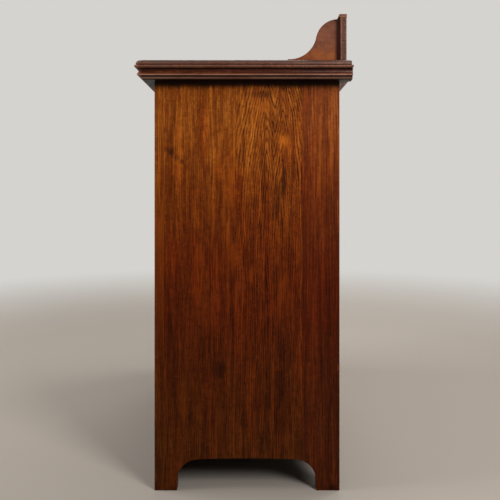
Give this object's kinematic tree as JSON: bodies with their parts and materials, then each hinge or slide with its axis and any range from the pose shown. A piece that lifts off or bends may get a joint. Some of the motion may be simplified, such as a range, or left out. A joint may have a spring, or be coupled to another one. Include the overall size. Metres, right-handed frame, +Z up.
{
  "type": "cupboard",
  "caption": "Low oak cupboard with a moulded top, a scrolled rear gallery, arched feet, a shelf and a pair of hinged panelled doors with a lock.",
  "frame": {"origin": "middle of the footprint on the floor", "axes": "+Z up, -Y towards the doors, +X to the right of a person facing the doors"},
  "size_m": [0.914, 0.457, 1.021],
  "materials": {
    "oak_side": "old brown stained and shellacked oak, satin, vertical grain",
    "oak": "old brown stained and shellacked oak, satin",
    "oak_top": "old brown oak, slightly worn and duller",
    "oak_moulding": "darker brown oak with worn edges",
    "oak_gallery": "redder brown oak, satin",
    "pine": "bare aged pine, matte",
    "brass": "aged brass, tarnished in the hollows",
    "steel": "dark worn steel"
  },
  "bodies": {
    "carcase": {"side_panel_left": "oak_side", "side_panel_right": "oak_side", "face_stile_left": "oak", "face_stile_right": "oak", "frieze_rail": "oak", "plinth_rail": "oak", "bottom_board": "pine", "shelf": "pine", "shelf_bearer_left": "pine", "shelf_bearer_right": "pine", "back_boards": "pine", "top_rail_front": "pine", "top_rail_rear": "pine", "top_board": "oak_top", "cornice_front": "oak_moulding", "cornice_left": "oak_moulding", "cornice_right": "oak_moulding", "rear_batten": "oak_moulding", "gallery_back": "oak_gallery", "gallery_cap": "oak_moulding", "gallery_bracket_left": "oak_gallery", "gallery_bracket_right": "oak_gallery", "glue_blocks": "pine", "door_stops": "pine", "hinge_leaves_frame_left": "brass", "hinge_leaves_frame_right": "brass", "hinge_pins_left": "brass", "hinge_pins_right": "brass", "bolt_keeper_top": "brass", "bolt_keeper_bottom": "brass"},
    "door_left": {"door_left_hinge_stile": "oak", "door_left_meeting_stile": "oak", "door_left_top_rail": "oak", "door_left_bottom_rail": "oak", "door_left_panel": "oak", "door_left_bead": "oak_moulding", "hinge_leaves_door_left": "brass", "handle_plate_left": "brass", "bolt_case_top": "brass", "bolt_case_bottom": "brass", "lock_staple": "brass"},
    "door_right": {"door_right_hinge_stile": "oak", "door_right_meeting_stile": "oak", "door_right_top_rail": "oak", "door_right_bottom_rail": "oak", "door_right_panel": "oak", "door_right_bead": "oak_moulding", "hinge_leaves_door_right": "brass", "handle_plate_right": "brass", "lock_case": "brass", "escutcheon": "brass"},
    "drop_left": {"handle_drop_left": "brass"},
    "drop_right": {"handle_drop_right": "brass"},
    "bolt_top": {"bolt_rod_top": "brass"},
    "bolt_bottom": {"bolt_rod_bottom": "brass"},
    "lock_bolt": {"lock_bolt": "brass"},
    "key": {"key": "steel"}
  },
  "joints": [
    {"name": "door_left_hinge", "type": "hinge", "parent": "carcase", "child": "door_left", "pos_m": [-0.36825, -0.1959, 0.467], "axis": [0, 0, -1], "range_deg": [0, 170]},
    {"name": "door_right_hinge", "type": "hinge", "parent": "carcase", "child": "door_right", "pos_m": [0.36825, -0.1959, 0.467], "axis": [0, 0, 1], "range_deg": [0, 170]},
    {"name": "drop_left_swing", "type": "hinge", "parent": "door_left", "child": "drop_left", "pos_m": [-0.03, -0.2015, 0.54], "axis": [-1, 0, 0], "range_deg": [0, 75]},
    {"name": "drop_right_swing", "type": "hinge", "parent": "door_right", "child": "drop_right", "pos_m": [0.03, -0.2015, 0.54], "axis": [-1, 0, 0], "range_deg": [0, 75]},
    {"name": "bolt_top_slide", "type": "slide", "parent": "door_left", "child": "bolt_top", "axis": [0, 0, 1], "range_m": [0, 0.016]},
    {"name": "bolt_bottom_slide", "type": "slide", "parent": "door_left", "child": "bolt_bottom", "axis": [0, 0, -1], "range_m": [0, 0.016]},
    {"name": "key_turn", "type": "hinge", "parent": "door_right", "child": "key", "pos_m": [0.026, -0.1925, 0.455], "axis": [0, -1, 0], "range_deg": [0, 360]},
    {"name": "lock_bolt_slide", "type": "slide", "parent": "door_right", "child": "lock_bolt", "axis": [-1, 0, 0], "range_m": [0, 0.01]}
  ],
  "couplings": [
    {"joint": "key_turn", "follows": "lock_bolt_slide", "rad_per_m": 628.32}
  ]
}
